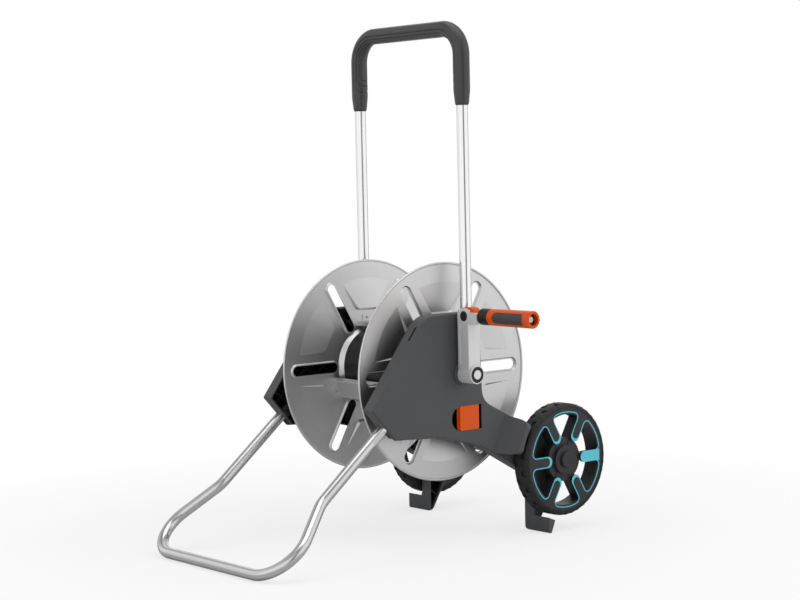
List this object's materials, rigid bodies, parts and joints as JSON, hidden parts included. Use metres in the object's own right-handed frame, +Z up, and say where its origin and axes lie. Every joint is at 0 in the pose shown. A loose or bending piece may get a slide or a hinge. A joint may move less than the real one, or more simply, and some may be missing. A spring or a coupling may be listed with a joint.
{
  "type": "garden hose reel cart",
  "caption": "Wheeled cart with a crank-driven sheet-metal hose reel between moulded side frames, a bent tube stand and a push-down tube handle.",
  "frame": {"origin": "On the ground, under the centre of the bounding box, with the cart standing on its two feet and the stand hoop.", "axes": "+X along the reel axis towards the crank, +Y towards the wheels, +Z up."},
  "size_m": [0.5214, 0.7494, 0.9005],
  "materials": {
    "cover": "fine satin texture, dark grey",
    "black_plastic": "satin black moulding",
    "arm_silver": "silver painted casting",
    "orange_plastic": "satin orange moulding",
    "wheel_plastic": "satin black moulding",
    "trim_paint": "turquoise hot-stamped line",
    "tyre": "matt dark tyre",
    "grip_rubber": "soft matt sleeve",
    "inlay_rubber": "soft matt inlay",
    "seal_rubber": "soft seal",
    "zinc_sheet": "satin zinc-plated sheet",
    "silver_tube": "silver powder coat",
    "axle_steel": "plain drawn steel",
    "screw_steel": "zinc-plated",
    "cap_silver": "satin chrome cap",
    "outlet_brass": "turned brass"
  },
  "bodies": {
    "frame": {"side_shell_right": "cover", "side_shell_left": "cover", "side_liner_right": "black_plastic", "side_liner_left": "black_plastic", "bearing_bush_right": "black_plastic", "bearing_bush_left": "black_plastic", "tube_collar_right": "black_plastic", "tube_collar_left": "black_plastic", "frame_screws": "screw_steel", "hoop_bolts": "screw_steel", "stand_hoop": "silver_tube", "wheel_axle": "axle_steel", "axle_nuts": "axle_steel", "inlet_elbow": "black_plastic", "inlet_seals": "seal_rubber"},
    "reel": {"flange_right": "zinc_sheet", "flange_left": "zinc_sheet", "tie_bar_top": "zinc_sheet", "tie_bar_front": "zinc_sheet", "tie_bar_rear": "zinc_sheet", "drum_core": "black_plastic", "hub_right": "black_plastic", "hub_left": "black_plastic", "reel_shaft": "axle_steel", "hose_outlet": "outlet_brass", "tab_screws": "screw_steel", "hub_screws": "screw_steel", "crank_arm": "arm_silver", "crank_bolt": "screw_steel", "crank_ring": "black_plastic", "crank_cap": "cap_silver"},
    "crank_knuckle": {"crank_knuckle": "orange_plastic", "knuckle_pin": "black_plastic", "grip_spindle": "axle_steel", "grip_collar": "black_plastic", "spindle_clip": "black_plastic"},
    "crank_grip": {"grip_sleeve": "orange_plastic", "grip_inlays": "inlay_rubber"},
    "handle": {"handle_tube": "silver_tube", "handle_grip": "grip_rubber", "tube_plugs": "black_plastic"},
    "latch_right": {"latch_right": "orange_plastic"},
    "latch_left": {"latch_left": "orange_plastic"},
    "wheel_right": {"wheel_right": "wheel_plastic", "tyre_right": "tyre", "wheel_trim_right": "trim_paint", "wheel_cap_right": "wheel_plastic"},
    "wheel_left": {"wheel_left": "wheel_plastic", "tyre_left": "tyre", "wheel_trim_left": "trim_paint", "wheel_cap_left": "wheel_plastic"}
  },
  "joints": [
    {"name": "reel_turn", "type": "hinge", "parent": "frame", "child": "reel", "pos_m": [-0.0687, 0.06071, 0.296], "axis": [1, 0, 0], "continuous": true},
    {"name": "grip_fold", "type": "hinge", "parent": "reel", "child": "crank_knuckle", "pos_m": [0.10469, 0.06071, 0.396], "axis": [0, -1, 0], "range_deg": [0, 90]},
    {"name": "grip_turn", "type": "hinge", "parent": "crank_knuckle", "child": "crank_grip", "pos_m": [0.1607, 0.06071, 0.396], "axis": [1, 0, 0], "continuous": true},
    {"name": "handle_slide", "type": "slide", "parent": "frame", "child": "handle", "axis": [0, 0, 1], "range_m": [-0.18, 0]},
    {"name": "latch_right_slide", "type": "slide", "parent": "frame", "child": "latch_right", "axis": [0, 1, 0], "range_m": [0, 0.006], "stiffness_N_per_m": 300, "springref_m": -0.004},
    {"name": "latch_left_slide", "type": "slide", "parent": "frame", "child": "latch_left", "axis": [0, 1, 0], "range_m": [0, 0.006], "stiffness_N_per_m": 300, "springref_m": -0.004},
    {"name": "wheel_right_turn", "type": "hinge", "parent": "frame", "child": "wheel_right", "pos_m": [0.08531, 0.27471, 0.126], "axis": [1, 0, 0], "continuous": true},
    {"name": "wheel_left_turn", "type": "hinge", "parent": "frame", "child": "wheel_left", "pos_m": [-0.2227, 0.27471, 0.126], "axis": [1, 0, 0], "continuous": true}
  ]
}
